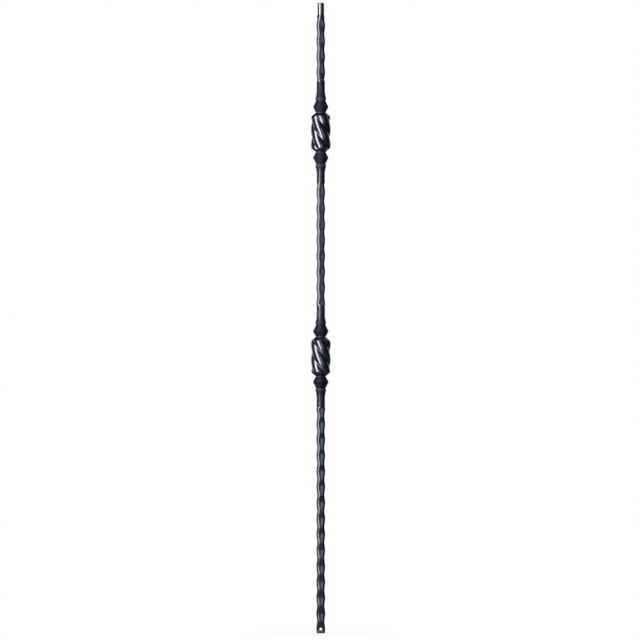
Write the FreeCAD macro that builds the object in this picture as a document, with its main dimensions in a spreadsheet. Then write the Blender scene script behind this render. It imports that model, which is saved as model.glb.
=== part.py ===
import FreeCAD, Part
import math
import os

import Sketcher

# Iron stair baluster: three hammered bars and two forged twisted knuckles, welded end to end into one piece.
# +Z runs up the baluster from the centre of the foot's end face, and -Y is the front.

DOCUMENT = "StairBaluster"
SHEET = "Sizes"
PARTS_FOLDER = "parts"

# Driving sizes in millimetres and degrees.
SIZES = {
    # Bar stock: four bowed sides on the diagonals, which meet where the hammer then flattens them.
    "bar_thickness": 15.3,
    "bar_side_radius": 14.0,
    # Hammer dents: across two opposite dents, and the round face of the hammer die.
    "waist_width": 12.8,
    "die_radius": 82.0,
    "dent_pitch": 28.0,
    # Foot bar, with a cross hole for a fixing pin.
    "foot_bar_length": 400.5,
    "foot_first_dent": 7.1,
    "foot_chamfer": 1.4,
    "pin_hole_diameter": 5.5,
    "pin_hole_height": 7.6,
    # Middle bar.
    "middle_bar_length": 219.5,
    "middle_first_dent": 6.2,
    # Top bar, turned down by a short cone to the handrail dowel.
    "top_bar_length": 120.0,
    "top_first_dent": 18.5,
    "top_dent_pitch": 27.2,
    "dowel_cone_length": 4.0,
    "dowel_diameter": 11.5,
    "dowel_length": 21.6,
    "dowel_chamfer": 0.8,
    # Knuckle ends, the same above and below the barrel: plain stub, flare, lip, groove and bead.
    "stub_length": 16.4,
    "stub_diameter": 14.4,
    "flare_length": 12.5,
    "lip_diameter": 18.5,
    "lip_length": 3.8,
    "groove_diameter": 16.5,
    "bead_diameter": 26.6,
    "bead_outer_length": 11.5,
    "bead_inner_length": 10.1,
    "neck_diameter": 17.0,
    # Barrel: four round strands laid left-handed, each end cut by a cone that runs into the neck.
    "barrel_length": 69.4,
    "barrel_diameter": 34.2,
    "strand_diameter": 21.2,
    "lay_length": 111.0,
    "shoulder_angle": 45.0,
    "upper_knuckle_turn": 46.5,
    "lower_knuckle_turn": 13.1,
    # How far a cutting outline reaches past the surface that it cuts.
    "cut_margin": 3.0,
}

# Every section is made of four arcs, a quarter turn apart.
QUARTER_TURN = math.pi / 2
SECTION_ARCS = 4

# Half the knuckle's length, built up from the middle of the barrel to the end of a stub.
NECK = "[barrel_length] / 2"
BEAD_EDGE = f"{NECK} + [bead_inner_length]"
GROOVE = f"{BEAD_EDGE} + [bead_outer_length]"
LIP = f"{GROOVE} + [lip_length]"
STUB = f"{LIP} + [flare_length]"
KNUCKLE_END = f"{STUB} + [stub_length]"

# Heights up the baluster: bars stand on their lower ends, knuckles sit on their middles.
LOWER_KNUCKLE_HEIGHT = f"[foot_bar_length] + {KNUCKLE_END}"
MIDDLE_BAR_HEIGHT = f"{LOWER_KNUCKLE_HEIGHT} + {KNUCKLE_END}"
UPPER_KNUCKLE_HEIGHT = f"{MIDDLE_BAR_HEIGHT} + [middle_bar_length] + {KNUCKLE_END}"
TOP_BAR_HEIGHT = f"{UPPER_KNUCKLE_HEIGHT} + {KNUCKLE_END}"


def cells(formula):
    """Turn a formula of [size] names into an expression on the sheet's cells."""
    return formula.replace("[", f"{SHEET}.").replace("]", "")


def make_sheet(doc):
    """Put every driving size in a cell that carries its name."""
    sheet = doc.addObject("Spreadsheet::Sheet", SHEET)
    for row, (name, value) in enumerate(SIZES.items(), start=1):
        sheet.set(f"A{row}", name)
        sheet.set(f"B{row}", str(value))
        sheet.setAlias(f"B{row}", name)
    doc.recompute()


def place(item, height, turn="0"):
    """Lift a piece up the baluster's axis and turn it about that axis."""
    item.setExpression("Placement.Base.z", cells(height))
    item.setExpression("Placement.Rotation.Angle", cells(turn))
    return item


def origin_feature(body, role):
    """Find one of a body's own origin planes or axes by its role."""
    return next(feature for feature in body.Origin.OriginFeatures if feature.Role == role)


def new_sketch(body, name, role, lift="0", turn="0"):
    """Attach an empty sketch to an origin plane, lifted along the plane's normal and turned about it."""
    sketch = body.newObject("Sketcher::SketchObject", name)
    sketch.AttachmentSupport = [(origin_feature(body, role), "")]
    sketch.MapMode = "FlatFace"
    sketch.setExpression("AttachmentOffset.Base.z", cells(lift))
    sketch.setExpression("AttachmentOffset.Rotation.Angle", cells(turn))
    return sketch


def number(sketch, formula):
    """Work out a formula's present value, to draw with before the constraints hold it."""
    return float(sketch.evalExpression(cells(formula)))


def point(sketch, corner):
    """Place a corner that is given as two formulas."""
    return FreeCAD.Vector(number(sketch, corner[0]), number(sketch, corner[1]), 0)


def size(sketch, kind, *where, formula):
    """Add a sized constraint and bind it to a formula."""
    index = sketch.addConstraint(Sketcher.Constraint(kind, *where, number(sketch, formula)))
    sketch.setExpression(f"Constraints[{index}]", cells(formula))


def hold(sketch, geometry, end, corner):
    """Hold one point of a sketch at a corner that is given as two formulas."""
    for formula, kind, axis in ((corner[0], "DistanceX", -2), (corner[1], "DistanceY", -1)):
        if formula == "0":
            sketch.addConstraint(Sketcher.Constraint("PointOnObject", geometry, end, axis))
        else:
            size(sketch, kind, -1, 1, geometry, end, formula=formula)


def add_circle(sketch, centre, radius):
    """Draw a circle held at its centre and radius."""
    circle = Part.Circle(point(sketch, centre), FreeCAD.Vector(0, 0, 1), number(sketch, radius))
    index = sketch.addGeometry(circle)
    hold(sketch, index, 3, centre)
    size(sketch, "Radius", index, formula=radius)


def four_arcs(sketch, radius, offset):
    """Draw a section of four equal arcs that meet on the diagonals, centred at an offset on each axis."""
    distance = number(sketch, offset)
    bow = number(sketch, radius)
    half_sweep = QUARTER_TURN / 2 + math.asin(distance * math.sin(QUARTER_TURN / 2) / bow)
    centres = ((f"{offset}", "0"), ("0", f"{offset}"), (f"-({offset})", "0"), ("0", f"-({offset})"))
    for arc, centre in enumerate(centres):
        circle = Part.Circle(point(sketch, centre), FreeCAD.Vector(0, 0, 1), bow)
        middle = arc * QUARTER_TURN
        sketch.addGeometry(Part.ArcOfCircle(circle, middle - half_sweep, middle + half_sweep))
        hold(sketch, arc, 3, centre)
        size(sketch, "Radius", arc, formula=radius)
    for arc in range(SECTION_ARCS):
        sketch.addConstraint(Sketcher.Constraint("Coincident", arc, 2, (arc + 1) % SECTION_ARCS, 1))


def flare_arc(start, end):
    """Draw a hollow arc that leaves its start straight down and widens to its end."""
    spread = end.x - start.x
    drop = start.y - end.y
    radius = (spread**2 + drop**2) / (2 * spread)
    circle = Part.Circle(FreeCAD.Vector(start.x + radius, start.y, 0), FreeCAD.Vector(0, 0, 1), radius)
    return Part.ArcOfCircle(circle, math.pi, math.pi + math.asin(drop / radius))


def outline(sketch, corners, flare=None):
    """Draw a closed outline; the side numbered flare is an arc that runs on from the side before it."""
    points = [point(sketch, corner) for corner in corners]
    for side, (start, end) in enumerate(zip(points, points[1:] + points[:1])):
        sketch.addGeometry(flare_arc(start, end) if side == flare else Part.LineSegment(start, end))
    for side in range(len(corners)):
        following = (side + 1) % len(corners)
        joint = "Tangent" if following == flare else "Coincident"
        sketch.addConstraint(Sketcher.Constraint(joint, side, 2, following, 1))
    for side, corner in enumerate(corners):
        hold(sketch, side, 1, corner)


def revolve(body, kind, name, corners, flare=None):
    """Turn an outline on the XZ plane about the baluster's axis, to add or to cut material."""
    sketch = new_sketch(body, f"{name}_outline", "XZ_Plane")
    outline(sketch, corners, flare)
    feature = body.newObject(f"PartDesign::{kind}", name)
    feature.Profile = sketch
    feature.ReferenceAxis = (sketch, ["V_Axis"])
    feature.Angle = 360
    body.Tip = feature
    return feature


def cut_through(body, name, sketch):
    """Cut a sketch through the whole body, both ways."""
    pocket = body.newObject("PartDesign::Pocket", name)
    pocket.Profile = sketch
    pocket.Type = "ThroughAll"
    pocket.SideType = "Symmetric"
    body.Tip = pocket
    return pocket


def hammer_row(body, name, role, dent, pitch, length):
    """Press opposite pairs of dents into a bar, one pair every pitch, with one pair at a given height."""
    first = f"(mod({dent} + {pitch} / 2; {pitch}) - {pitch} / 2)"
    reach = "([waist_width] / 2 + [die_radius])"
    sketch = new_sketch(body, f"{name}_dies", role)
    for offset in (reach, f"-{reach}"):
        add_circle(sketch, (offset, first), "[die_radius]")
    pair = cut_through(body, f"{name}_dent", sketch)
    row = body.newObject("PartDesign::LinearPattern", f"{name}_row")
    row.Originals = [pair]
    row.Direction = (sketch, ["V_Axis"])
    row.Mode = "Spacing"
    row.setExpression("Offset", cells(pitch))
    row.setExpression("Occurrences", cells(f"floor(({length} - {first}) / {pitch} + 1 / 2) + 1"))
    body.Tip = row


def make_bar(doc, name, length, first_dent, pitch="[dent_pitch]"):
    """Make a bar, hammered front and back first, then left and right half a pitch further on."""
    body = doc.addObject("PartDesign::Body", name)
    section = new_sketch(body, f"{name}_section", "XY_Plane", turn="45")
    four_arcs(section, "[bar_side_radius]", "([bar_thickness] / 2 - [bar_side_radius])")
    stock = body.newObject("PartDesign::Pad", f"{name}_stock")
    stock.Profile = section
    stock.setExpression("Length", cells(length))
    hammer_row(body, "front", "YZ_Plane", first_dent, pitch, length)
    hammer_row(body, "side", "XZ_Plane", f"({first_dent} + {pitch} / 2)", pitch, length)
    return body


def make_foot_bar(doc):
    """Make the long bar that goes down to the tread, bevelled and drilled at its lower end."""
    body = make_bar(doc, "foot_bar", "[foot_bar_length]", "[foot_first_dent]")
    inside = "[bar_thickness] / 2 - [foot_chamfer]"
    outside = "[bar_thickness] / 2 + [cut_margin]"
    revolve(body, "Groove", "foot_bevel", [
        (inside, "0"),
        (outside, "0"),
        (outside, "[foot_chamfer] + [cut_margin]"),
    ])
    sketch = new_sketch(body, "pin_hole_circle", "XZ_Plane")
    add_circle(sketch, ("0", "[pin_hole_height]"), "[pin_hole_diameter] / 2")
    cut_through(body, "pin_hole", sketch)
    return body


def make_top_bar(doc):
    """Make the short bar under the handrail, with its upper end turned down to a dowel."""
    end = "([top_bar_length] + [dowel_length])"
    body = make_bar(doc, "top_bar", end, "[top_first_dent]", "[top_dent_pitch]")
    dowel = "[dowel_diameter] / 2"
    outside = "([bar_thickness] / 2 + [cut_margin])"
    cone = f"[dowel_cone_length] * ({outside} - {dowel}) / ([bar_thickness] / 2 - {dowel})"
    revolve(body, "Groove", "dowel", [
        (dowel, "[top_bar_length]"),
        (dowel, f"{end} - [dowel_chamfer]"),
        (f"{dowel} - [dowel_chamfer]", end),
        (outside, end),
        (outside, f"[top_bar_length] - {cone}"),
    ])
    return body


def make_knuckle(doc):
    """Make a forged knuckle about its own middle: twisted barrel, then beads, lips and stubs on both ends."""
    body = doc.addObject("PartDesign::Body", "knuckle")
    end = f"({NECK} + [cut_margin])"
    section = new_sketch(body, "strand_section", "XY_Plane", lift=f"-{end}")
    four_arcs(section, "[strand_diameter] / 2", "([barrel_diameter] - [strand_diameter]) / 2")
    strands = body.newObject("PartDesign::AdditiveHelix", "strands")
    strands.Profile = section
    strands.ReferenceAxis = (section, ["N_Axis"])
    strands.Mode = "pitch-height-angle"
    strands.LeftHanded = True
    strands.setExpression("Pitch", cells("[lay_length]"))
    strands.setExpression("Height", cells(f"2 * {end}"))

    outside = "[barrel_diameter] / 2 + [cut_margin]"
    slope = "tan([shoulder_angle])"
    shoulder = revolve(body, "Groove", "shoulder", [
        (f"[neck_diameter] / 2 - [cut_margin] * {slope}", end),
        (outside, end),
        (outside, f"{NECK} - ({outside} - [neck_diameter] / 2) / {slope}"),
    ])
    spindle = revolve(body, "Revolution", "spindle", [
        ("0", KNUCKLE_END),
        ("[stub_diameter] / 2", KNUCKLE_END),
        ("[stub_diameter] / 2", STUB),
        ("[lip_diameter] / 2", LIP),
        ("[groove_diameter] / 2", GROOVE),
        ("[bead_diameter] / 2", BEAD_EDGE),
        ("[neck_diameter] / 2", NECK),
        ("[neck_diameter] / 2", "0"),
        ("0", "0"),
    ], flare=2)
    other_end = body.newObject("PartDesign::Mirrored", "other_end")
    other_end.Originals = [shoulder, spindle]
    other_end.MirrorPlane = (origin_feature(body, "XY_Plane"), [""])
    body.Tip = other_end
    return body


def make_copy(doc, name, body):
    """Set a further copy of a forging in the baluster."""
    copy = doc.addObject("App::Link", name)
    copy.LinkedObject = body
    return copy


def weld(doc, pieces):
    """Join the forgings at their touching ends into the finished baluster."""
    baluster = doc.addObject("Part::MultiFuse", "baluster")
    baluster.Shapes = pieces
    return baluster


def check(doc, baluster):
    """Stop if any object failed, any cut missed, or the baluster is not one valid solid."""
    failed = [item.Name for item in doc.Objects if {"Invalid", "Error"} & set(item.State)]
    if failed:
        raise RuntimeError(f"failed objects: {failed}")
    for item in doc.Objects:
        if item.TypeId in ("PartDesign::Pocket", "PartDesign::Groove"):
            if item.Shape.Volume >= item.BaseFeature.Shape.Volume:
                raise RuntimeError(f"{item.Name} cuts nothing")
    if not baluster.Shape.isValid() or len(baluster.Shape.Solids) != 1:
        raise RuntimeError("the baluster is not one valid solid")


def main():
    """Forge the pieces, weld them from the foot up and write the baluster to its file."""
    doc = FreeCAD.newDocument(DOCUMENT)
    make_sheet(doc)
    knuckle = make_knuckle(doc)
    baluster = weld(doc, [
        make_foot_bar(doc),
        place(make_copy(doc, "lower_knuckle", knuckle), LOWER_KNUCKLE_HEIGHT, "[lower_knuckle_turn]"),
        place(make_bar(doc, "middle_bar", "[middle_bar_length]", "[middle_first_dent]"), MIDDLE_BAR_HEIGHT),
        place(make_copy(doc, "upper_knuckle", knuckle), UPPER_KNUCKLE_HEIGHT, "[upper_knuckle_turn]"),
        place(make_top_bar(doc), TOP_BAR_HEIGHT),
    ])
    doc.recompute()
    check(doc, baluster)
    os.makedirs(PARTS_FOLDER, exist_ok=True)
    baluster.Shape.exportStep(f"{PARTS_FOLDER}/{baluster.Label}.step")
    box = baluster.Shape.BoundBox
    print(f"{baluster.Label}: {baluster.Shape.Volume:.0f} mm3, z {box.ZMin:.2f} to {box.ZMax:.2f} mm")


main()
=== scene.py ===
"""Iron stair baluster, dressed for the picture.

Five forgings stand end to end on one axis: a long hammered foot bar, a twisted knuckle, a hammered
middle bar, a second knuckle, and a short hammered top bar that ends in a turned dowel. They are welded
together, the welds are dressed almost flush, and a satin blue-black coat covers everything.

The forgings are in millimetres until a forging tree writes them out in metres, and their heights are
measured up from the tread. The studio round them is in metres.
"""

from __future__ import annotations

import logging
import math
from abc import ABC, abstractmethod
from dataclasses import dataclass, replace
from enum import Enum
from typing import Any, ClassVar, Iterable

import bmesh
import bpy
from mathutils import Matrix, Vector

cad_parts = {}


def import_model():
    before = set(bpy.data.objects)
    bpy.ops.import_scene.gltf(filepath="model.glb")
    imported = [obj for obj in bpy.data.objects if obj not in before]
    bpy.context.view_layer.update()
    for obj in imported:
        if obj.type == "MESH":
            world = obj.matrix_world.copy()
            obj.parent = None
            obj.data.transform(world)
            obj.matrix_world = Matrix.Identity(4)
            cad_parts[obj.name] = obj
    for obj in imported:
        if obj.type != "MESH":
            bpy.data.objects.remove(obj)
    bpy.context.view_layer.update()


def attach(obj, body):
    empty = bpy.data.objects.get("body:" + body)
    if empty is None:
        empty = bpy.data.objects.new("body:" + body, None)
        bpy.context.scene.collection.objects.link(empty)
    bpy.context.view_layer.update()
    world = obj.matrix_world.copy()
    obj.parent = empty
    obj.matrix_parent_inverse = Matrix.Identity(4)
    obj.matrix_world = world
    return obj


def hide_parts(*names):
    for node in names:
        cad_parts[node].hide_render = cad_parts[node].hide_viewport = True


METRES = 0.001
QUARTER_TURN = math.pi / 2
FULL_TURN = math.tau
ROUNDING_STEP = QUARTER_TURN / 4
NO_LIMIT = 60.0
NODE = "baluster"
BODY = "root"

# Polish of the iron under its coat, from 0 on raw forging to 1 on turned metal
STUB_POLISH = 0.4
HAMMERED = 0.7
TURNED = 1.0

Colour = tuple[float, float, float]
WHITE: Colour = (1.0, 1.0, 1.0)
UNIT = (0.0, 1.0)

log = logging.getLogger(NODE)


class Hand(Enum):
    """Way in which the strands of a barrel run round the axis as they rise."""

    LEFT = -1.0
    RIGHT = 1.0


class Mark(Enum):
    """Values that a blank's points carry for the forging trees and the finishes."""

    ANGLE = "angle"
    TURNED = "turned"
    FILL = "fill"
    DEPTH = "depth"
    DRESSED = "dressed"
    POLISH = "polish"
    # Share of a lighter grey in the knuckles' necks and on their lips: dust, and a painted sheen for the
    # light that catches there
    DUST_AND_SHEEN = "dust_and_sheen"


# Arithmetic written as nodes


@dataclass(frozen=True)
class Number:
    """A number that varies over a surface, held as an output socket of a node tree."""

    tree: bpy.types.NodeTree
    socket: bpy.types.NodeSocket

    def math(self, operation: str, *others: Number | float) -> Number:
        """Feeds this number and others through one Math node.

        Args:
            operation: name of the Math node's operation.
            others: the second and third values, as numbers of the same tree or plain values.

        Returns:
            The node's result.
        """
        node = self.tree.nodes.new("ShaderNodeMath")
        node.operation = operation
        for value, entry in zip((self, *others), node.inputs):
            plug(self.tree, value, entry)
        return Number(self.tree, node.outputs[0])

    def __add__(self, other: Number | float) -> Number:
        """Sum with another value."""
        return self.math("ADD", other)

    def __sub__(self, other: Number | float) -> Number:
        """Difference from another value."""
        return self.math("SUBTRACT", other)

    def __mul__(self, other: Number | float) -> Number:
        """Product with another value."""
        return self.math("MULTIPLY", other)

    def __truediv__(self, other: Number | float) -> Number:
        """Quotient by another value."""
        return self.math("DIVIDE", other)

    def cosine(self) -> Number:
        """Cosine of this angle."""
        return self.math("COSINE")

    def sine(self) -> Number:
        """Sine of this angle."""
        return self.math("SINE")

    def magnitude(self) -> Number:
        """This number without its sign."""
        return self.math("ABSOLUTE")

    def root(self) -> Number:
        """Square root of this number."""
        return self.math("SQRT")

    def rest(self) -> Number:
        """What this number leaves of 1."""
        return self * -1.0 + 1.0

    def soft_least(self, other: Number | float, softness: Number | float) -> Number:
        """The smaller of two lengths, with the crease between them rounded over."""
        return self.math("SMOOTH_MIN", other, softness)

    def toward(self, goal: Number | float, share: Number) -> Number:
        """This number moved towards a goal by a share from 0 to 1."""
        return self * share.rest() + share * goal


def plug(tree: bpy.types.NodeTree, value: object, entry: bpy.types.NodeSocket) -> None:
    """Links a varying value to a node's input, or sets a plain one on it.

    Args:
        tree: the tree that the node is in.
        value: a number of the tree, an output socket or a plain value.
        entry: the node's input.
    """
    source = value.socket if isinstance(value, Number) else value
    if isinstance(source, bpy.types.NodeSocket):
        tree.links.new(source, entry)
    else:
        entry.default_value = source


def bowed(half: Number, radius: Number, facing: Number, aside: Number) -> Number:
    """Distance from the axis to a bowed face.

    Args:
        half: the face's distance from the axis at its middle.
        radius: the radius of its bow.
        facing: cosine of the angle from the face's middle.
        aside: sine of that angle.

    Returns:
        The distance.
    """
    offset = radius - half
    swell = offset * aside
    return (radius * radius - swell * swell).root() - offset * facing


class ForgingTree:
    """A geometry node tree that gives a blank its form, with a named input for each size."""

    NOISE_GAIN: ClassVar[float] = 4.0

    def __init__(self, name: str) -> None:
        """Starts a tree with a geometry socket at each end.

        Args:
            name: the tree's name.
        """
        self.group = bpy.data.node_groups.new(name, "GeometryNodeTree")
        self.identifiers: dict[str, str] = {}
        for end in ("INPUT", "OUTPUT"):
            self.group.interface.new_socket("Geometry", in_out=end, socket_type="NodeSocketGeometry")
        self.entry = self.group.nodes.new("NodeGroupInput")
        self.exit = self.group.nodes.new("NodeGroupOutput")
        self.stock = self.entry.outputs["Geometry"]

    def size(self, name: str) -> Number:
        """Adds a named size to the tree's inputs.

        Args:
            name: name of the forging's field that holds the size.

        Returns:
            The size.
        """
        label = name.replace("_", " ").title()
        made = self.group.interface.new_socket(label, in_out="INPUT", socket_type="NodeSocketFloat")
        self.identifiers[name] = made.identifier
        return Number(self.group, self.entry.outputs[label])

    def mark(self, mark: Mark) -> Number:
        """Reads a value that the blank's points carry.

        Args:
            mark: which value.

        Returns:
            The value.
        """
        node = self.group.nodes.new("GeometryNodeInputNamedAttribute")
        node.data_type = "FLOAT"
        node.inputs["Name"].default_value = mark.value
        return Number(self.group, node.outputs["Attribute"])

    def height(self) -> Number:
        """Reads the height of each point of the blank.

        Returns:
            The height.
        """
        position = self.group.nodes.new("GeometryNodeInputPosition")
        split = self.group.nodes.new("ShaderNodeSeparateXYZ")
        self.group.links.new(position.outputs[0], split.inputs[0])
        return Number(self.group, split.outputs["Z"])

    def vector(self, x: Number | float, y: Number | float, z: Number | float) -> bpy.types.NodeSocket:
        """Joins three numbers to a vector.

        Args:
            x: the part to the right.
            y: the part to the back.
            z: the part upward.

        Returns:
            The vector.
        """
        node = self.group.nodes.new("ShaderNodeCombineXYZ")
        for part, entry in zip((x, y, z), node.inputs):
            plug(self.group, part, entry)
        return node.outputs[0]

    def unevenness(self, place: bpy.types.NodeSocket, length: float, detail: float = 1.0) -> Number:
        """Smooth seeded variation between about -1 and 1.

        Args:
            place: the vector at which it is read, in millimetres.
            length: the distance over which it changes, in millimetres.
            detail: how many finer layers lie on it.

        Returns:
            The variation.
        """
        node = self.group.nodes.new("ShaderNodeTexNoise")
        node.inputs["Scale"].default_value = 1.0 / length
        node.inputs["Detail"].default_value = detail
        self.group.links.new(place, node.inputs["Vector"])
        return Number(self.group, node.outputs[0]) * self.NOISE_GAIN - self.NOISE_GAIN / 2

    def coat(
        self,
        geometry: bpy.types.NodeSocket,
        material: bpy.types.Material,
        chosen: Number | bool = True,
    ) -> bpy.types.NodeSocket:
        """Coats the geometry, or the part of it that is chosen.

        Args:
            geometry: the geometry.
            material: its finish.
            chosen: where the finish goes.

        Returns:
            The coated geometry.
        """
        node = self.group.nodes.new("GeometryNodeSetMaterial")
        node.inputs["Material"].default_value = material
        plug(self.group, chosen, node.inputs["Selection"])
        self.group.links.new(geometry, node.inputs["Geometry"])
        return node.outputs[0]

    def finish(
        self,
        place: bpy.types.NodeSocket,
        material: bpy.types.Material,
        smoother: Iterable[tuple[float, bpy.types.Material]],
    ) -> None:
        """Sets the points, and ends the tree with realised, coated geometry.

        Args:
            place: each point's new place in millimetres.
            material: the finish of the piece.
            smoother: finishes of its smoother faces in rising order, each with the polish where it starts.
        """
        nodes, links = self.group.nodes, self.group.links
        scale = nodes.new("ShaderNodeVectorMath")
        scale.operation = "SCALE"
        scale.inputs["Scale"].default_value = METRES
        move = nodes.new("GeometryNodeSetPosition")
        smooth = nodes.new("GeometryNodeSetShadeSmooth")
        realise = nodes.new("GeometryNodeRealizeInstances")
        links.new(place, scale.inputs[0])
        links.new(scale.outputs[0], move.inputs["Position"])
        worked = self.stock
        for step in (move, smooth, realise):
            links.new(worked, step.inputs["Geometry"])
            worked = step.outputs[0]
        worked = self.coat(worked, material)
        for polish, finer in smoother:
            worked = self.coat(worked, finer, self.mark(Mark.POLISH).math("GREATER_THAN", polish))
        links.new(worked, self.exit.inputs[0])

    def forge(self, piece: bpy.types.Object, sizes: dict[str, Any]) -> bpy.types.Object:
        """Runs the tree on a blank and keeps the result as its plain mesh.

        Args:
            piece: the blank.
            sizes: the forging's values by name, with one for each named input.

        Returns:
            The same object with its forged mesh.
        """
        modifier = piece.modifiers.new("forging", "NODES")
        modifier.node_group = self.group
        for name, identifier in self.identifiers.items():
            modifier[identifier] = float(sizes[name])
        evaluated = piece.evaluated_get(bpy.context.evaluated_depsgraph_get())
        forged = bpy.data.meshes.new_from_object(evaluated)
        piece.modifiers.clear()
        piece.data = forged
        forged.name = piece.name
        return piece


# Blanks


@dataclass(frozen=True)
class Ring:
    """One ring of a blank: its height, the radius that turning leaves, and what else its points carry."""

    height: float
    turned: float = NO_LIMIT
    fill: float = 1.0
    dressed: float = 0.0
    polish: float = 0.0
    # Share of the lighter grey of dust and painted sheen
    dust_and_sheen: float = 0.0


class Blank:
    """Round bar of quads, closed at both ends, whose points carry what the forging trees read."""

    END_FILLS: ClassVar[tuple[float, ...]] = (0.85, 0.6, 0.3)

    def __init__(self, name: str, columns: int) -> None:
        """Starts an empty blank.

        Args:
            name: name of the piece.
            columns: points round each ring.
        """
        self.name = name
        self.columns = columns
        self.points: list[tuple[float, float, float]] = []
        self.marks: dict[Mark, list[float]] = {mark: [] for mark in Mark}
        self.faces: list[tuple[int, ...]] = []
        self.rings: list[list[int]] = []

    def angle(self, column: int) -> float:
        """Angle of a column about the axis."""
        return FULL_TURN * column / self.columns

    def add_point(self, angle: float, ring: Ring, depth: float = 0.0) -> int:
        """Adds one point.

        Args:
            angle: angle about the axis, counted from the right-hand side, in radians.
            ring: the ring that the point belongs to.
            depth: share of the way from the surface to the axis plane, along the front-to-back direction.

        Returns:
            The point's number.
        """
        across = ring.fill * math.cos(angle)
        towards = ring.fill * math.sin(angle) * (1.0 - depth)
        self.points.append((across, towards, ring.height))
        values = {
            Mark.ANGLE: angle,
            Mark.TURNED: ring.turned,
            Mark.FILL: ring.fill,
            Mark.DEPTH: depth,
            Mark.DRESSED: ring.dressed,
            Mark.POLISH: ring.polish,
            Mark.DUST_AND_SHEEN: ring.dust_and_sheen,
        }
        for mark, value in values.items():
            self.marks[mark].append(value)
        return len(self.points) - 1

    def add_ring(self, ring: Ring) -> list[int]:
        """Adds a ring of points."""
        return [self.add_point(self.angle(column), ring) for column in range(self.columns)]

    def join(self, lower: list[int], upper: list[int]) -> None:
        """Bridges two rings with quads.

        Args:
            lower: points of the one ring.
            upper: as many points of the other, in the same order.
        """
        for here in range(len(lower)):
            beyond = (here + 1) % len(lower)
            self.faces.append((lower[here], lower[beyond], upper[beyond], upper[here]))

    def close(self, rim: list[int], ring: Ring) -> None:
        """Closes an end with rings that narrow to a point on the axis.

        Args:
            rim: the end's outermost ring of points.
            ring: that ring's values.
        """
        outer = rim
        for fill in self.END_FILLS:
            inner = self.add_ring(replace(ring, fill=fill))
            self.join(outer, inner)
            outer = inner
        tip = self.add_point(0.0, replace(ring, fill=0.0))
        for here in range(self.columns):
            self.faces.append((outer[here], outer[(here + 1) % self.columns], tip))

    def add_wall(self, rings: list[Ring]) -> None:
        """Adds the wall and closes both ends.

        Args:
            rings: the wall's rings, from the lower end to the upper.
        """
        self.rings = [self.add_ring(ring) for ring in rings]
        for lower, upper in zip(self.rings, self.rings[1:]):
            self.join(lower, upper)
        self.close(self.rings[0], rings[0])
        self.close(self.rings[-1], rings[-1])

    def to_object(self) -> bpy.types.Object:
        """Makes the blank an object with outward faces and one attribute for each mark.

        Returns:
            The object.
        """
        mesh = bpy.data.meshes.new(self.name)
        mesh.from_pydata(self.points, [], self.faces)
        for mark, values in self.marks.items():
            mesh.attributes.new(mark.value, "FLOAT", "POINT").data.foreach_set("value", values)
        shell = bmesh.new()
        shell.from_mesh(mesh)
        unused = [vertex for vertex in shell.verts if not vertex.link_faces]
        bmesh.ops.delete(shell, geom=unused, context="VERTS")
        bmesh.ops.recalc_face_normals(shell, faces=shell.faces)
        shell.to_mesh(mesh)
        shell.free()
        made = bpy.data.objects.new(self.name, mesh)
        bpy.context.scene.collection.objects.link(made)
        return made


def spaced(start: float, stop: float, step: float) -> list[float]:
    """Evenly spaced values from start to stop, both included, about a step apart."""
    count = max(1, round(abs(stop - start) / step))
    return [start + (stop - start) * number / count for number in range(count + 1)]


def eased(share: float) -> float:
    """Smooth change from 0 to 1 that starts and ends level."""
    share = min(max(share, 0.0), 1.0)
    return share * share * (3.0 - 2.0 * share)


# Finishes


def opaque(colour: Colour) -> tuple[float, float, float, float]:
    """The colour as a node's input takes it."""
    return (*colour, 1.0)


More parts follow.
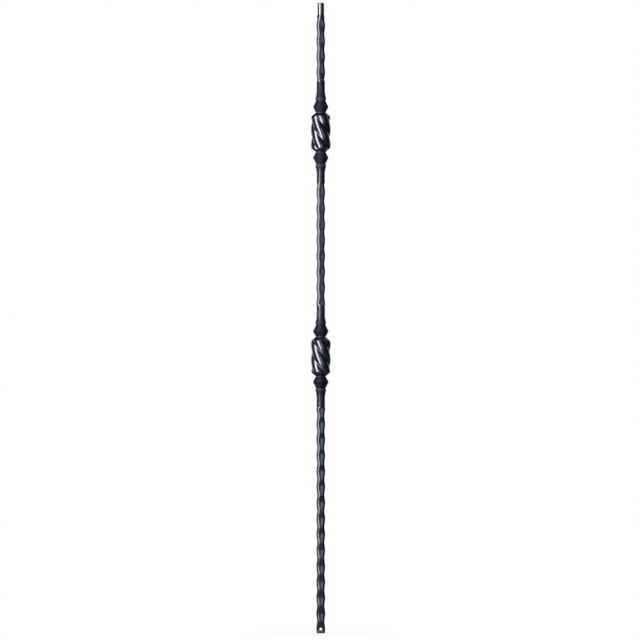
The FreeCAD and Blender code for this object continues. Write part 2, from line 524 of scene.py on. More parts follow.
class ShaderTree:
    """Short ways to write a material's or a shader group's nodes."""

    # Places of the share and the two colours among a Mix node's inputs, and of its colour among the outputs
    MIX_INPUTS: ClassVar[tuple[int, int, int]] = (0, 6, 7)
    MIX_OUTPUT: ClassVar[int] = 2

    def __init__(self, tree: bpy.types.NodeTree) -> None:
        """Keeps the tree that the nodes go into."""
        self.tree = tree

    def node(self, kind: str, **settings: object) -> bpy.types.Node:
        """Adds a node.

        Args:
            kind: the node's type.
            settings: values of its properties.

        Returns:
            The node.
        """
        made = self.tree.nodes.new(kind)
        for name, value in settings.items():
            setattr(made, name, value)
        return made

    def feed(self, node: bpy.types.Node, **values: object) -> None:
        """Links or sets a node's inputs.

        Args:
            node: the node.
            values: a value for each input, named with underscores for its spaces.
        """
        for name, value in values.items():
            plug(self.tree, value, node.inputs[name.replace("_", " ")])

    def number(self, socket: bpy.types.NodeSocket) -> Number:
        """A node's output as a number of this tree."""
        return Number(self.tree, socket)

    def mark(self, mark: Mark) -> Number:
        """Reads a value that the piece's points carry."""
        return self.number(self.node("ShaderNodeAttribute", attribute_name=mark.value).outputs["Fac"])

    def noise(self, place: bpy.types.NodeSocket, scale: object, detail: float, rough: float) -> Number:
        """Cloudy noise between 0 and 1.

        Args:
            place: the vector at which it is read.
            scale: its scale, as a socket or a plain value.
            detail: how many finer layers lie on it.
            rough: how strong the finer layers are.

        Returns:
            The noise's value.
        """
        made = self.node("ShaderNodeTexNoise")
        self.feed(made, Vector=place, Scale=scale, Detail=detail, Roughness=rough)
        return self.number(made.outputs[0])

    def span(self, value: Number, source: tuple[float, float], goal: tuple[float, float]) -> Number:
        """Maps a value from one range to another, held at its ends.

        Args:
            value: the value.
            source: the range that it comes from.
            goal: the range that it goes to.

        Returns:
            The mapped value.
        """
        made = self.node("ShaderNodeMapRange")
        self.feed(made, Value=value, From_Min=source[0], From_Max=source[1], To_Min=goal[0], To_Max=goal[1])
        return self.number(made.outputs[0])

    def mix(self, share: Number, first: object, last: object) -> bpy.types.NodeSocket:
        """Blends two colours.

        Args:
            share: share of the last colour.
            first: the colour at 0, as a socket or an opaque colour.
            last: the colour at 1.

        Returns:
            The blended colour.
        """
        made = self.node("ShaderNodeMix", data_type="RGBA")
        for place, value in zip(self.MIX_INPUTS, (share, first, last)):
            plug(self.tree, value, made.inputs[place])
        return made.outputs[self.MIX_OUTPUT]


class IronSkin:
    """Shader group for coated iron: the coat's orange peel over scale pits, and its slow drift of tone."""

    NAME: ClassVar[str] = "iron_skin"
    PEEL_DETAIL: ClassVar[float] = 2.0
    PEEL_ROUGHNESS: ClassVar[float] = 0.45
    PIT_DETAIL: ClassVar[float] = 4.0
    PIT_ROUGHNESS: ClassVar[float] = 0.62
    PIT_RANGE: ClassVar[tuple[float, float]] = (0.5, 0.72)
    DRIFT_SCALE: ClassVar[float] = 38.0
    DRIFT_DETAIL: ClassVar[float] = 3.0
    DRIFT_ROUGHNESS: ClassVar[float] = 0.55
    DRIFT_RANGE: ClassVar[tuple[float, float]] = (0.3, 0.7)

    @classmethod
    def group(cls) -> bpy.types.NodeTree:
        """The group, built on first use."""
        return bpy.data.node_groups.get(cls.NAME) or cls._build()

    @classmethod
    def _build(cls) -> bpy.types.NodeTree:
        """Builds the group.

        Returns:
            The group.
        """
        tree = bpy.data.node_groups.new(cls.NAME, "ShaderNodeTree")
        face = tree.interface
        face.new_socket("Place", in_out="INPUT", socket_type="NodeSocketVector")
        for name in ("Peel Scale", "Pit Scale", "Pit Depth"):
            face.new_socket(name, in_out="INPUT", socket_type="NodeSocketFloat")
        for name in ("Height", "Drift"):
            face.new_socket(name, in_out="OUTPUT", socket_type="NodeSocketFloat")
        given = tree.nodes.new("NodeGroupInput").outputs
        leave = tree.nodes.new("NodeGroupOutput")
        write = ShaderTree(tree)
        place = given["Place"]
        peel = write.noise(place, given["Peel Scale"], cls.PEEL_DETAIL, cls.PEEL_ROUGHNESS)
        scale = write.noise(place, given["Pit Scale"], cls.PIT_DETAIL, cls.PIT_ROUGHNESS)
        pits = write.span(scale, cls.PIT_RANGE, UNIT) * write.number(given["Pit Depth"])
        drift = write.noise(place, cls.DRIFT_SCALE, cls.DRIFT_DETAIL, cls.DRIFT_ROUGHNESS)
        write.feed(leave, Height=peel - pits, Drift=write.span(drift, cls.DRIFT_RANGE, UNIT))
        return tree


@dataclass(frozen=True)
class IronCoat:
    """Satin blue-black powder coat on forged iron, duller where the forging under it was left rough.

    Where it has a glossed range, clear gloss comes up as the iron's polish goes through that range.
    """

    name: str
    deep: Colour = (0.0028, 0.005, 0.0155)
    pale: Colour = (0.006, 0.009, 0.0215)
    # Lighter grey of dust and painted sheen for the necks and lips, and how much of it the thinnest drift
    # keeps
    dust_and_sheen: Colour = (0.1, 0.104, 0.115)
    thin_dust_and_sheen: float = 0.4
    rough: float = 0.28
    smooth: float = 0.18
    roughness_drift: float = 0.03
    refraction: float = 1.8
    specular_level: float = 1.0
    tint: Colour = (0.8, 0.87, 1.0)
    coat_weight: float = 0.1
    glossed: tuple[float, float] | None = None
    coat_roughness: float = 0.18
    peel_scale: float = 900.0
    pit_scale: float = 650.0
    pit_depth: float = 0.9
    relief: float = 0.000008
    polished_relief: float = 0.1

    def material(self) -> bpy.types.Material:
        """Builds the finish.

        Returns:
            The finished material.
        """
        made = bpy.data.materials.new(self.name)
        made.use_nodes = True
        write = ShaderTree(made.node_tree)
        place = write.node("ShaderNodeTexCoord").outputs["Object"]
        polish = write.mark(Mark.POLISH)
        skin = write.node("ShaderNodeGroup", node_tree=IronSkin.group())
        write.feed(
            skin,
            Place=place,
            Peel_Scale=self.peel_scale,
            Pit_Scale=self.pit_scale,
            Pit_Depth=self.pit_depth,
        )
        drift = write.number(skin.outputs["Drift"])
        iron = write.mix(drift, opaque(self.deep), opaque(self.pale))
        # Blends in the lighter grey of dust and painted sheen where the points carry it
        dust_and_sheen_cover = write.mark(Mark.DUST_AND_SHEEN) * write.span(drift, UNIT, (self.thin_dust_and_sheen, 1.0))
        wander = write.span(drift, UNIT, (-self.roughness_drift, self.roughness_drift))
        gloss = self.coat_weight
        if self.glossed:
            gloss = write.span(polish, self.glossed, (self.coat_weight, 1.0))
        bump = write.node("ShaderNodeBump")
        strength = write.span(polish, UNIT, (1.0, self.polished_relief))
        write.feed(bump, Strength=strength, Distance=self.relief, Height=skin.outputs["Height"])
        write.feed(
            made.node_tree.nodes["Principled BSDF"],
            Base_Color=write.mix(dust_and_sheen_cover, iron, opaque(self.dust_and_sheen)),
            Roughness=write.span(polish, UNIT, (self.rough, self.smooth)) + wander,
            IOR=self.refraction,
            Specular_IOR_Level=self.specular_level,
            Specular_Tint=opaque(self.tint),
            Coat_Weight=gloss,
            Coat_Roughness=self.coat_roughness,
            Normal=bump.outputs["Normal"],
        )
        return made


@dataclass(frozen=True)
class Coats:
    """Finishes of the bars and of their dowel, and of the knuckles' beads, stubs and barrels."""

    bar: bpy.types.Material
    dowel: bpy.types.Material
    bead: bpy.types.Material
    stub: bpy.types.Material
    barrel: bpy.types.Material

    @classmethod
    def mixed(cls) -> Coats:
        """Builds all five finishes.

        Returns:
            The finishes.
        """
        bar = IronCoat("bar_coat", rough=0.3, smooth=0.2, specular_level=0.9, relief=0.000003)
        dowel = IronCoat("dowel_coat", rough=0.4, smooth=0.3, refraction=2.1, tint=(0.9, 0.94, 1.0))
        bead = IronCoat(
            "bead_coat",
            deep=(0.0047, 0.0063, 0.0135),
            pale=(0.0095, 0.0115, 0.0205),
            rough=0.55,
            refraction=1.5,
            specular_level=0.32,
            coat_weight=0.0,
            relief=0.00006,
        )
        stub = IronCoat(
            "stub_coat",
            deep=(0.0074, 0.0108, 0.0235),
            pale=(0.0135, 0.0184, 0.0345),
            rough=0.7,
            smooth=0.13,
            roughness_drift=0.12,
            refraction=1.5,
            specular_level=0.3,
            coat_weight=0.0,
            glossed=(0.42, 0.69),
            relief=0.00004,
        )
        barrel = IronCoat("barrel_coat", rough=0.4, smooth=0.23, tint=(0.92, 0.95, 1.0))
        return cls(*(coat.material() for coat in (bar, dowel, bead, stub, barrel)))


# Forgings


@dataclass
class Forging(ABC):
    """A forging, made from a blank by the tree that all forgings of its kind share."""

    name: str
    TREE: ClassVar[str]
    trees: ClassVar[dict[str, ForgingTree]] = {}

    @abstractmethod
    def write_rule(self, tree: ForgingTree, coats: Coats) -> None:
        """Writes the rule that gives the forging's kind its form.

        Args:
            tree: the empty tree.
            coats: the finishes of the forgings.
        """

    @abstractmethod
    def sizes(self) -> dict[str, Any]:
        """The forging's values by name, as its tree takes them."""

    @abstractmethod
    def blank(self) -> Blank:
        """The forging's blank."""

    def build(self, coats: Coats) -> bpy.types.Object:
        """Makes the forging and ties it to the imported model.

        Args:
            coats: the finishes of the forgings.

        Returns:
            The finished piece.
        """
        if self.TREE not in self.trees:
            self.trees[self.TREE] = ForgingTree(self.TREE)
            self.write_rule(self.trees[self.TREE], coats)
        piece = self.trees[self.TREE].forge(self.blank().to_object(), self.sizes())
        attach(piece, BODY)
        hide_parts(NODE)
        return piece


@dataclass
class HammeredBar(Forging):
    """Bar of rounded square stock, pressed to waists front and back and, half a pitch on, on its sides."""

    TREE: ClassVar[str] = "hammered_bar"
    PLACE_LENGTH: ClassVar[float] = 34.0
    DEPTH_LENGTH: ClassVar[float] = 17.0
    FRONT_LANE: ClassVar[float] = 40.0
    SIDE_LANE: ClassVar[float] = 80.0
    SKIN_LENGTH: ClassVar[float] = 4.5
    SKIN_DETAIL: ClassVar[float] = 2.0

    foot: float
    top: float
    first_dent: float
    turn: float = 0.0
    pitch: float = 28.0
    waist: float = 6.5
    crest: float = 7.85
    face_radius: float = 32.0
    stock_half: float = 8.05
    stock_side_radius: float = 18.0
    edge_softness: float = 1.1
    weld_radius: float = 7.35
    dressing: float = 3.5
    notch: float = 0.18
    uneven_depth: float = 0.1
    uneven_place: float = 0.8
    skin_wave: float = 0.004
    turning_softness: float = 0.5
    seed: float = 0.0
    columns: int = 176
    row_step: float = 0.9

    def write_rule(self, tree: ForgingTree, coats: Coats) -> None:
        """Writes the bar's rule: at each angle and height, the least of the stock and four pressed sides.

        Args:
            tree: the empty tree.
            coats: the finishes of the forgings.
        """
        waist, crest = tree.size("waist"), tree.size("crest")
        pitch, first = tree.size("pitch"), tree.size("first_dent")
        half, side_radius = tree.size("stock_half"), tree.size("stock_side_radius")
        face_radius = tree.size("face_radius")
        softness, weld = tree.size("edge_softness"), tree.size("weld_radius")
        uneven_depth, uneven_place = tree.size("uneven_depth"), tree.size("uneven_place")
        skin_wave, turning, seed = tree.size("skin_wave"), tree.size("turning_softness"), tree.size("seed")
        angle, height = tree.mark(Mark.ANGLE), tree.height()
        across, towards = angle.cosine(), angle.sine()
        set_angle = angle - tree.size("turn")
        sideways, forwards = set_angle.cosine(), set_angle.sine()

        drift = tree.unevenness(tree.vector(seed, 0.0, height), self.PLACE_LENGTH) * uneven_place
        beat = ((height - first + drift) / pitch * FULL_TURN).cosine()
        swing = (crest - waist) / 2.0
        front_error = tree.unevenness(tree.vector(seed, self.FRONT_LANE, height), self.DEPTH_LENGTH)
        side_error = tree.unevenness(tree.vector(seed, self.SIDE_LANE, height), self.DEPTH_LENGTH)
        front = waist + swing * beat.rest() + front_error * uneven_depth
        side = waist + swing * (beat + 1.0) + side_error * uneven_depth

        lean = set_angle.math("WRAP", QUARTER_TURN, 0.0) - QUARTER_TURN / 2
        stock = bowed(half, side_radius, lean.cosine(), lean.sine())
        pressed_front = bowed(front, face_radius, forwards.magnitude(), sideways)
        pressed_side = bowed(side, face_radius, sideways.magnitude(), forwards)
        hammered = pressed_front.soft_least(pressed_side, softness).soft_least(stock, softness)
        dressed = hammered.toward(weld, tree.mark(Mark.DRESSED))
        limited = dressed.soft_least(tree.mark(Mark.TURNED), turning)

        on_bar = tree.vector(across * limited + seed, towards * limited, height)
        ripple = tree.unevenness(on_bar, self.SKIN_LENGTH, self.SKIN_DETAIL) * skin_wave
        radius = (limited + ripple * tree.mark(Mark.POLISH).rest()) * tree.mark(Mark.FILL)
        place = tree.vector(radius * across, radius * towards * tree.mark(Mark.DEPTH).rest(), height)
        tree.finish(place, coats.bar, [((HAMMERED + TURNED) / 2, coats.dowel)])

    def sizes(self) -> dict[str, Any]:
        """The bar's values by name, with its turn in radians."""
        return vars(self) | {"turn": math.radians(self.turn)}

    def dressed(self, height: float) -> float:
        """How far the section is dressed to the round stub at a height: 1 at a weld, 0 along the bar."""
        reach = min(height - self.foot, self.top - height)
        return 1.0 - eased(reach / self.dressing)

    def weld_rings(self, height: float, inwards: float) -> list[Ring]:
        """Rings of an end that meets a weld, rounded over into the notch.

        Args:
            height: height of the end.
            inwards: 1 for a lower end and -1 for an upper one.

        Returns:
            The rings, from the end inwards.
        """
        made = []
        for turn in spaced(0.0, QUARTER_TURN, ROUNDING_STEP):
            level = height + inwards * self.notch * (1.0 - math.cos(turn))
            reach = self.weld_radius - self.notch * (1.0 - math.sin(turn))
            made.append(Ring(level, reach, dressed=1.0, polish=HAMMERED))
        return made

    def plain_rings(self, low: float, high: float) -> list[Ring]:
        """Rings of the hammered wall between two heights."""
        heights = spaced(low, high, self.row_step)
        return [Ring(height, dressed=self.dressed(height), polish=HAMMERED) for height in heights]

    def rings(self) -> list[Ring]:
        """Lays out the wall between two welded ends.

        Returns:
            All rings, from the lower end to the upper.
        """
        low = self.weld_rings(self.foot, 1.0)
        high = self.weld_rings(self.top, -1.0)
        wall = self.plain_rings(self.foot + 2 * self.notch, self.top - 2 * self.notch)
        return low + wall + high[::-1]

    def blank(self) -> Blank:
        """Makes the bar's blank.

        Returns:
            The blank.
        """
        made = Blank(self.name, self.columns)
        made.add_wall(self.rings())
        return made


@dataclass
class FootBar(HammeredBar):
    """Long bar with a bevelled lower end and a pin hole drilled through it from front to back."""

    bevel: float = 1.4
    bevel_softness: float = 0.35
    bevel_inset: float = 0.8
    bevel_start: float = 0.3
    bevel_overrun: float = 0.6
    bevel_step: float = 0.25
    wall_start: float = 2.3
    hole_height: float = 7.6
    hole_radius: float = 2.5
    hole_rim: float = 0.35
    bore_step: float = 0.8
    patch_columns: int = 17
    patch_rows: int = 5
    patch_rings: int = 6

    def dressed(self, height: float) -> float:
        """Only the upper end meets a weld."""
        return 1.0 - eased((self.top - height) / self.dressing)

    def rings(self) -> list[Ring]:
        """Lays out the bevelled lower end, the wall with rows set level with the hole, and the welded end.

        Returns:
            All rings, from the lower end to the upper.
        """
        foot_radius = self.stock_half - self.bevel
        made = []
        for turn in spaced(0.0, QUARTER_TURN / 2, ROUNDING_STEP / 2):
            rise = self.bevel_softness * (1.0 - math.cos(turn))
            radius = foot_radius - self.bevel_softness * (self.bevel_inset - math.sin(turn))
            made.append(Ring(rise, radius, polish=HAMMERED))
        for rise in spaced(self.bevel_start, self.bevel + self.bevel_overrun, self.bevel_step):
            made.append(Ring(rise, foot_radius + rise, polish=HAMMERED))
        patch_low = self.hole_height - self.patch_rows * self.row_step
        patch_high = self.hole_height + self.patch_rows * self.row_step
        made += self.plain_rings(self.wall_start, patch_low)[:-1]
        made += self.plain_rings(patch_low, patch_high)
        made += self.plain_rings(patch_high, self.top - 2 * self.notch)[1:]
        return made + self.weld_rings(self.top, -1.0)[::-1]

    def blank(self) -> Blank:
        """Makes the bar's blank, with the hole's rings let into its front and back.

        Returns:
            The blank.
        """
        rings = self.rings()
        made = Blank(self.name, self.columns)
        made.add_wall(rings)
        middle = min(range(len(rings)), key=lambda row: abs(rings[row].height - self.hole_height))
        front, back = self.columns * 3 // 4, self.columns // 4
        mid_ring: list[int] = []
        for centre in (front, back):
            mid_ring = self._drill(made, middle, centre, mid_ring)
        return made

    @staticmethod
    def _open(blank: Blank, rows: range, columns: range) -> list[int]:
        """Takes a patch of faces out of the wall.

        Args:
            blank: the bar's blank.
            rows: numbers of the patch's rows.
            columns: numbers of its columns.

        Returns:
            The points round the opening, in order.
        """
        inside = {blank.rings[row][column] for row in rows for column in columns}
        blank.faces = [face for face in blank.faces if not inside.issuperset(face)]
        border = [blank.rings[rows[0]][column] for column in columns]
        border += [blank.rings[row][columns[-1]] for row in rows[1:]]
        border += [blank.rings[rows[-1]][column] for column in reversed(columns[:-1])]
        border += [blank.rings[row][columns[0]] for row in reversed(rows[1:-1])]
        return border

    def _drill(self, blank: Blank, middle: int, centre: int, mid_ring: list[int]) -> list[int]:
        """Opens one face of the bar and leads it into the bore.

        Args:
            blank: the bar's blank.
            middle: number of the row at the hole's height.
            centre: number of the column at the middle of the face.
            mid_ring: the ring of points half-way through the bore, empty while it isn't made.

        Returns:
            The ring half-way through the bore.
        """
        rows = range(middle - self.patch_rows, middle + self.patch_rows + 1)
        columns = range(centre - self.patch_columns, centre + self.patch_columns + 1)
        border = self._open(blank, rows, columns)
        facing = -1.0 if math.sin(blank.angle(centre)) < 0 else 1.0
        flat = self.waist
        places = []
        for point in border:
            angle = blank.marks[Mark.ANGLE][point]
            across = flat * math.cos(angle) / abs(math.sin(angle))
            places.append((across, blank.points[point][2] - self.hole_height))

        def add(radius: float, share: float, depth: float) -> list[int]:
            """Adds a ring of points between the border and a circle about the hole.

            Args:
                radius: the circle's radius.
                share: share of the way from the border to the circle.
                depth: depth under the face.

            Returns:
                The ring's points.
            """
            ring = []
            for across, rise in places:
                reach = math.hypot(across, rise)
                x = across + (across * radius / reach - across) * share
                z = rise + (rise * radius / reach - rise) * share
                angle = math.atan2(facing * flat, x)
                level = Ring(self.hole_height + z, polish=HAMMERED)
                ring.append(blank.add_point(angle, level, depth / flat))
            return ring

        loops = [border]
        rim_radius = self.hole_radius + self.hole_rim
        for step in range(1, self.patch_rings + 1):
            loops.append(add(rim_radius, step / self.patch_rings, 0.0))
        for turn in spaced(ROUNDING_STEP, QUARTER_TURN, ROUNDING_STEP):
            radius = self.hole_radius + self.hole_rim * (1.0 - math.sin(turn))
            loops.append(add(radius, 1.0, self.hole_rim * (1.0 - math.cos(turn))))
        for depth in spaced(self.hole_rim, flat, self.bore_step)[1:-1]:
            loops.append(add(self.hole_radius, 1.0, depth))
        if mid_ring:
            loops.append(self._matching(blank, loops[-1], mid_ring))
        else:
            mid_ring = add(self.hole_radius, 1.0, flat)
            loops.append(mid_ring)
        for outer, inner in zip(loops, loops[1:]):
            blank.join(outer, inner)
        return mid_ring

    @staticmethod
    def _matching(blank: Blank, loop: list[int], ring: list[int]) -> list[int]:
        """Puts a ring's points in the order of a loop that runs the other way round.

        Args:
            blank: the bar's blank.
            loop: the loop's points.
            ring: the ring's points.

        Returns:
            For each point of the loop, the ring's point straight behind it.
        """

        def gap(point: int, other: int) -> float:
            """Distance between two points, seen along the bore."""
            here, there = blank.points[point], blank.points[other]
            return math.hypot(there[0] - here[0], there[2] - here[2])

        return [min(ring, key=lambda other: gap(point, other)) for point in loop]


@dataclass
class TopBar(HammeredBar):
    """Short bar whose upper end is turned down to a smooth dowel for the handrail."""

    dowel_radius: float = 5.9
    dowel_length: float = 21.6
    dowel_bevel: float = 0.8
    neck_radius: float = 6.45
    neck_length: float = 9.0
    cone_length: float = 1.2
    turned_step: float = 0.5
    edge_step: float = 0.2

    def dressed(self, height: float) -> float:
        """Only the lower end meets a weld."""
        return 1.0 - eased((height - self.foot) / self.dressing)

    def rings(self) -> list[Ring]:
        """Lays out the welded lower end, the wall, the tapered neck, the cone and the dowel with its bevel.

        Returns:
            All rings, from the lower end to the upper.
        """
        tip = self.top + self.dowel_length
        shoulder = self.top - self.cone_length
        start = shoulder - self.neck_length
        made = self.weld_rings(self.foot, 1.0) + self.plain_rings(self.foot + 2 * self.notch, start)
        low, wide = start, self.crest + self.turning_softness
        stretches = (
            (shoulder, self.neck_radius, self.turned_step, HAMMERED),
            (self.top, self.dowel_radius, self.edge_step, TURNED),
            (tip - self.dowel_bevel, self.dowel_radius, self.turned_step, TURNED),
            (tip, self.dowel_radius - self.dowel_bevel, self.edge_step, TURNED),
        )
        for high, narrow, step, polish in stretches:
            slope = (narrow - wide) / (high - low)
            for height in spaced(low, high, step)[1:]:
                made.append(Ring(height, wide + (height - low) * slope, polish=polish))
            low, wide = high, narrow
        return made


@dataclass
class Knuckle(Forging):
    """Forged knuckle: a barrel of twisted strands between two beads, each with lip, flare and stub."""

    TREE: ClassVar[str] = "twisted_knuckle"
    FORGE_LENGTH: ClassVar[float] = 5.0
    FORGE_DETAIL: ClassVar[float] = 3.0
    BARREL_EVENNESS: ClassVar[float] = 0.95

    centre: float
    turn: float
    hand: Hand = Hand.LEFT
    strands: int = 4
    strand_offset: float = 6.8
    strand_radius: float = 10.6
    lay: float = 111.0
    barrel_half: float = 35.2
    neck: float = 8.9
    neck_half: float = 0.35
    bead: float = 14.0
    bead_flash: float = 0.25
    flash_half: float = 0.9
    bead_reach: float = 44.8
    groove: float = 8.45
    groove_reach: float = 56.0
    lip: float = 9.4
    lip_reach: float = 60.6
    lip_steepness: float = 2.0
    flare_hollow: float = 1.5
    stub: float = 7.35
    stub_reach: float = 72.6
    end_reach: float = 89.0
    notch: float = 0.18
    crease: float = 0.004
    # Spread of the lighter grey of dust and painted sheen about the neck, and its share on the lip
    dust_and_sheen_half: float = 0.8
    lip_dust_and_sheen: float = 0.35
    polish_margin: float = 0.5
    upper_gloss: float = STUB_POLISH
    lower_gloss: float = STUB_POLISH
    shoulder_slope: float = 1.25
    shoulder_softness: float = 4.2
    forge_wave: float = 0.1
    seed: float = 0.0
    columns: int = 192
    row_step: float = 0.42

    def write_rule(self, tree: ForgingTree, coats: Coats) -> None:
        """Writes the knuckle's rule: the least of the twisted strands and the turned spindle.

        Args:
            tree: the empty tree.
            coats: the finishes of the forgings.
        """
        offset, strand_radius = tree.size("strand_offset"), tree.size("strand_radius")
        count, lay, hand = tree.size("strands"), tree.size("lay"), tree.size("hand")
        turn, centre = tree.size("turn"), tree.size("centre")
        crease, softness = tree.size("crease"), tree.size("shoulder_softness")
        wave, seed = tree.size("forge_wave"), tree.size("seed")
        angle, height, polish = tree.mark(Mark.ANGLE), tree.height(), tree.mark(Mark.POLISH)

        crest = turn + hand * (height / lay * FULL_TURN)
        swing = ((angle - crest) * count).cosine() * crease.rest()
        lean = swing.math("ARCCOSINE") / count
        sway = offset * lean.sine()
        strand = offset * lean.cosine() + (strand_radius * strand_radius - sway * sway).root()
        spindle = strand.soft_least(tree.mark(Mark.TURNED), softness * polish)

        across, towards = angle.cosine(), angle.sine()
        on_knuckle = tree.vector(across * spindle + seed, towards * spindle, height)
        ripple = tree.unevenness(on_knuckle, self.FORGE_LENGTH, self.FORGE_DETAIL) * wave
        radius = (spindle + ripple * (polish * self.BARREL_EVENNESS).rest()) * tree.mark(Mark.FILL)
        place = tree.vector(radius * across, radius * towards, height + centre)
        smoother = [(STUB_POLISH / 2, coats.stub), ((STUB_POLISH + TURNED) / 2, coats.barrel)]
        tree.finish(place, coats.bead, smoother)

    def sizes(self) -> dict[str, Any]:
        """The knuckle's values by name, with its turn in radians and its hand as a sign."""
        return vars(self) | {"turn": math.radians(self.turn), "hand": self.hand.value}

    def spindle(self, reach: float) -> float:
        """Finds the radius to which the spindle is forged.

        Args:
            reach: distance from the knuckle's middle.

        Returns:
            The radius.
        """
        if reach <= self.barrel_half:
            rise = self.barrel_half - self.neck_half - reach
            return self.neck + self.shoulder_slope * max(0.0, rise)
        if reach <= self.groove_reach:
            return self._bead(reach)
        if reach <= self.lip_reach:
            share = (reach - self.groove_reach) / (self.lip_reach - self.groove_reach)
            return self.groove + (self.lip - self.groove) * eased(share * self.lip_steepness)
        if reach <= self.stub_reach:
            share = (self.stub_reach - reach) / (self.stub_reach - self.lip_reach)
            return self.stub + (self.lip - self.stub) * share**self.flare_hollow
        return self.stub

    def _bead(self, reach: float) -> float:
        """Finds the radius of the bead: two cones that meet in a thin ridge of flash.

        Args:
            reach: distance from the knuckle's middle.

        Returns:
            The radius.
        """
        edge = self.bead - self.bead_flash
        if reach <= self.bead_reach:
            root = self.barrel_half + self.neck_half
            share = max(0.0, (reach - root) / (self.bead_reach - root))
            flank = self.neck + (edge - self.neck) * share
        else:
            share = (self.groove_reach - reach) / (self.groove_reach - self.bead_reach)
            flank = self.groove + (edge - self.groove) * share
        ridge = 1.0 - eased(abs(reach - self.bead_reach) / self.flash_half)
        return flank + self.bead_flash * ridge

    def polished(self, reach: float, gloss: float) -> float:
        """Finds how smooth the forging is.

        Args:
            reach: distance from the knuckle's middle.
            gloss: how smooth the stub is where it meets its weld.

        Returns:
            1 on the barrel, 0 on the beads, and between the two from the lip outward.
        """
        on_barrel = 1.0 - eased(reach - self.barrel_half + self.polish_margin)
        on_stub = STUB_POLISH * eased(reach - self.groove_reach)
        to_weld = (reach - self.lip_reach) / (self.stub_reach - self.lip_reach)
        return on_barrel + on_stub + (gloss - STUB_POLISH) * eased(to_weld)

    def dust_and_sheen_share(self, reach: float) -> float:
        """Finds how much lighter grey, dust with a painted sheen, lies on the forging.

        Args:
            reach: distance from the knuckle's middle.

        Returns:
            The share of that grey, which stands for dust and for a painted sheen of the light caught there:
            most in the neck, and some on the lip.
        """
        in_neck = 1.0 - eased(abs(reach - self.barrel_half) / self.dust_and_sheen_half)
        on_lip = eased(reach - self.groove_reach) * eased(self.lip_reach - reach)
        return max(in_neck, self.lip_dust_and_sheen * on_lip)

    def half_rings(self, gloss: float) -> list[Ring]:
        """Lays out one half of the wall.

        Args:
            gloss: how smooth the half's stub is where it meets its weld.

        Returns:
            The rings from the knuckle's middle outward, with heights counted from the middle.
        """
        made = []
        for reach in spaced(0.0, self.end_reach - self.notch, self.row_step):
            polish, dust_and_sheen = self.polished(reach, gloss), self.dust_and_sheen_share(reach)
            made.append(Ring(reach, self.spindle(reach), polish=polish, dust_and_sheen=dust_and_sheen))
        for turn in spaced(ROUNDING_STEP, QUARTER_TURN, ROUNDING_STEP):
            reach = self.end_reach - self.notch * (1.0 - math.sin(turn))
            radius = self.stub - self.notch * (1.0 - math.cos(turn))
            made.append(Ring(reach, radius, polish=gloss))
        return made

    def blank(self) -> Blank:
        """Makes the knuckle's blank, turned to the spindle's outline.

        Returns:
            The blank.
        """
        upper = self.half_rings(self.upper_gloss)
        lower = self.half_rings(self.lower_gloss)[:0:-1]
        made = Blank(self.name, self.columns)
        made.add_wall([replace(ring, height=-ring.height) for ring in lower] + upper)
        return made


# The picture


@dataclass(frozen=True)
class SoftBox:
    """Rectangular studio lamp that faces a point on the baluster's axis."""

    name: str
    bearing: float
    distance: float
    width: float
    height: float
    aim: float
    radiance: float
    colour: Colour
    elevation: float = 0.0

    def build(self) -> None:
        """Sets the lamp up."""
        lamp = bpy.data.lights.new(self.name, "AREA")
        lamp.shape = "RECTANGLE"
        lamp.size = self.width
        lamp.size_y = self.height
        lamp.energy = self.radiance * math.pi * self.width * self.height
        lamp.color = self.colour
        made = bpy.data.objects.new(self.name, lamp)
        bearing, elevation = math.radians(self.bearing), math.radians(self.elevation)
        away = Vector((
            math.sin(bearing) * math.cos(elevation),
            -math.cos(bearing) * math.cos(elevation),
            math.sin(elevation),
        ))
        made.location = Vector((0.0, 0.0, self.aim)) + away * self.distance
        made.rotation_euler = (-away).to_track_quat("-Z", "Y").to_euler()
        made.visible_camera = False
        bpy.context.scene.collection.objects.link(made)


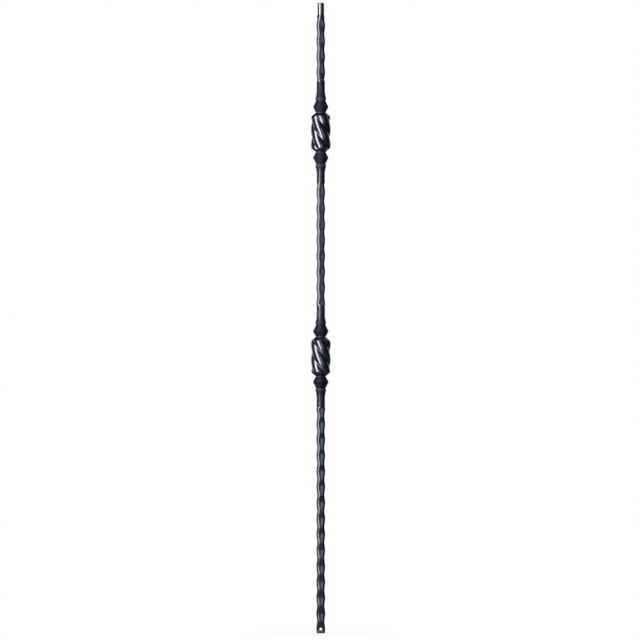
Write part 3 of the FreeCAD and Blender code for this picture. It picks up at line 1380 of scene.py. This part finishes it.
@dataclass
class Studio:
    """Pale floor, white surround, the camera, and soft boxes in front, above, behind and to the side."""

    middle: float = 0.5553
    camera_distance: float = 12.0
    camera_side: float = -0.0014
    view_height: float = 1.1346
    floor_half: float = 4.0
    floor_colour: Colour = (0.14, 0.145, 0.155)
    floor_roughness: float = 0.9
    # Share of white that the camera sees round the foot: the rest is dim floor paint, a painted shadow
    # there
    floor_glow: float = 0.95
    shadow_near: float = 0.01
    shadow_far: float = 0.16
    surround: Colour = (0.008, 0.01, 0.016)
    mirrored: float = 0.02
    boxes: tuple[SoftBox, ...] = (
        SoftBox("key_box", bearing=-36.0, distance=0.8, width=0.45, height=1.9, aim=1.02,
                radiance=6.2, colour=(0.98, 0.99, 1.0)),
        SoftBox("fill_box", bearing=14.0, distance=2.2, width=0.6, height=1.36, aim=0.7,
                radiance=1.4, colour=(0.74, 0.85, 1.0)),
        SoftBox("rim_box", bearing=-138.0, distance=2.2, width=1.6, height=1.3, aim=0.7,
                radiance=1.1, colour=(0.86, 0.91, 1.0)),
        SoftBox("top_box", bearing=0.0, distance=1.9, width=1.0, height=1.0, aim=0.7,
                radiance=0.5, colour=(0.95, 0.97, 1.0), elevation=78.0),
        SoftBox("back_box", bearing=180.0, distance=1.6, width=0.5, height=1.9, aim=0.95,
                radiance=1.4, colour=(0.96, 0.98, 1.0)),
        SoftBox("side_box", bearing=148.0, distance=1.6, width=0.7, height=1.9, aim=0.95,
                radiance=1.0, colour=(0.9, 0.95, 1.0)),
    )

    def build(self) -> None:
        """Sets up everything around the baluster."""
        bpy.context.scene.view_settings.view_transform = "Standard"
        for box in self.boxes:
            box.build()
        self._world()
        self._floor()
        self._camera()

    def _camera(self) -> None:
        """Sets up a level camera, far enough away to flatten the view as in the photograph."""
        lens = bpy.data.cameras.new("camera")
        lens.sensor_fit = "HORIZONTAL"
        lens.angle = 2.0 * math.atan(self.view_height / 2.0 / self.camera_distance)
        made = bpy.data.objects.new("camera", lens)
        made.location = (self.camera_side, -self.camera_distance, self.middle)
        made.rotation_euler = (QUARTER_TURN, 0.0, 0.0)
        bpy.context.scene.collection.objects.link(made)
        bpy.context.scene.camera = made

    def _world(self) -> None:
        """Makes the world white to the camera and dim to the rest, with a trace of white in reflections."""
        world = bpy.data.worlds.new("surround")
        world.use_nodes = True
        bpy.context.scene.world = world
        write = ShaderTree(world.node_tree)
        path = write.node("ShaderNodeLightPath").outputs
        camera, glass = write.number(path["Is Camera Ray"]), write.number(path["Is Transmission Ray"])
        mirrored = write.number(path["Is Glossy Ray"]) * self.mirrored
        seen = camera.math("MAXIMUM", glass).math("MAXIMUM", mirrored)
        colour = write.mix(seen, opaque(self.surround), opaque(WHITE))
        write.feed(world.node_tree.nodes["Background"], Color=colour)

    def _floor(self) -> None:
        """Lays a pale floor that keeps a faint shadow and is otherwise white to the camera; round the foot
        it is painted a shade grey as a painted shadow, fading out with distance.
        """
        half = self.floor_half
        edge_points = [(-half, -half, 0.0), (half, -half, 0.0), (half, half, 0.0), (-half, half, 0.0)]
        mesh = bpy.data.meshes.new("floor")
        mesh.from_pydata(edge_points, [], [(0, 1, 2, 3)])
        floor = bpy.data.objects.new("floor", mesh)
        bpy.context.scene.collection.objects.link(floor)
        mesh.materials.append(self._floor_paint())

    def _floor_paint(self) -> bpy.types.Material:
        """Builds the floor's finish.

        Returns:
            The material.
        """
        paint = bpy.data.materials.new("floor_paint")
        paint.use_nodes = True
        tree = paint.node_tree
        write = ShaderTree(tree)
        matt = tree.nodes["Principled BSDF"]
        write.feed(matt, Base_Color=opaque(self.floor_colour), Roughness=self.floor_roughness)
        away = write.node("ShaderNodeVectorMath", operation="LENGTH")
        tree.links.new(write.node("ShaderNodeTexCoord").outputs["Object"], away.inputs[0])
        reach = write.number(away.outputs["Value"])
        # Painted shadow: the white share rises from floor_glow at the foot to full white by shadow_far, so
        # the floor is greyer round the foot even where it is lit
        white = write.span(reach, (self.shadow_near, self.shadow_far), (self.floor_glow, 1.0))
        seen = write.number(write.node("ShaderNodeLightPath").outputs["Is Camera Ray"])
        glow = write.node("ShaderNodeEmission")
        mix = write.node("ShaderNodeMixShader")
        plug(tree, seen * white, mix.inputs[0])
        plug(tree, matt.outputs[0], mix.inputs[1])
        plug(tree, glow.outputs[0], mix.inputs[2])
        write.feed(tree.nodes["Material Output"], Surface=mix.outputs[0])
        return paint


def main() -> None:
    """Builds the baluster, piece by piece, and the studio round it."""
    logging.basicConfig(level=logging.INFO, format="%(name)s %(message)s")
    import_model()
    coats = Coats.mixed()
    forgings: list[Forging] = [
        FootBar("foot_bar", foot=0.0, top=401.5, first_dent=7.1, turn=3.0, seed=3.0),
        Knuckle(
            "lower_knuckle",
            centre=490.5,
            turn=-18.95,
            bead=14.3,
            stub=7.5,
            upper_gloss=0.65,
            lower_gloss=0.52,
            seed=11.0,
        ),
        HammeredBar("middle_bar", foot=579.5, top=799.0, first_dent=584.7, turn=-1.5, seed=23.0),
        Knuckle("upper_knuckle", centre=888.0, turn=14.56, lower_gloss=0.69, seed=47.0),
        TopBar("top_bar", foot=977.0, top=1096.0, first_dent=994.5, turn=-1.0, pitch=27.2, seed=61.0),
    ]
    for forging in forgings:
        piece = forging.build(coats)
        log.info("%s: %d faces", piece.name, len(piece.data.polygons))
    Studio().build()


if __name__ == "__main__":
    main()
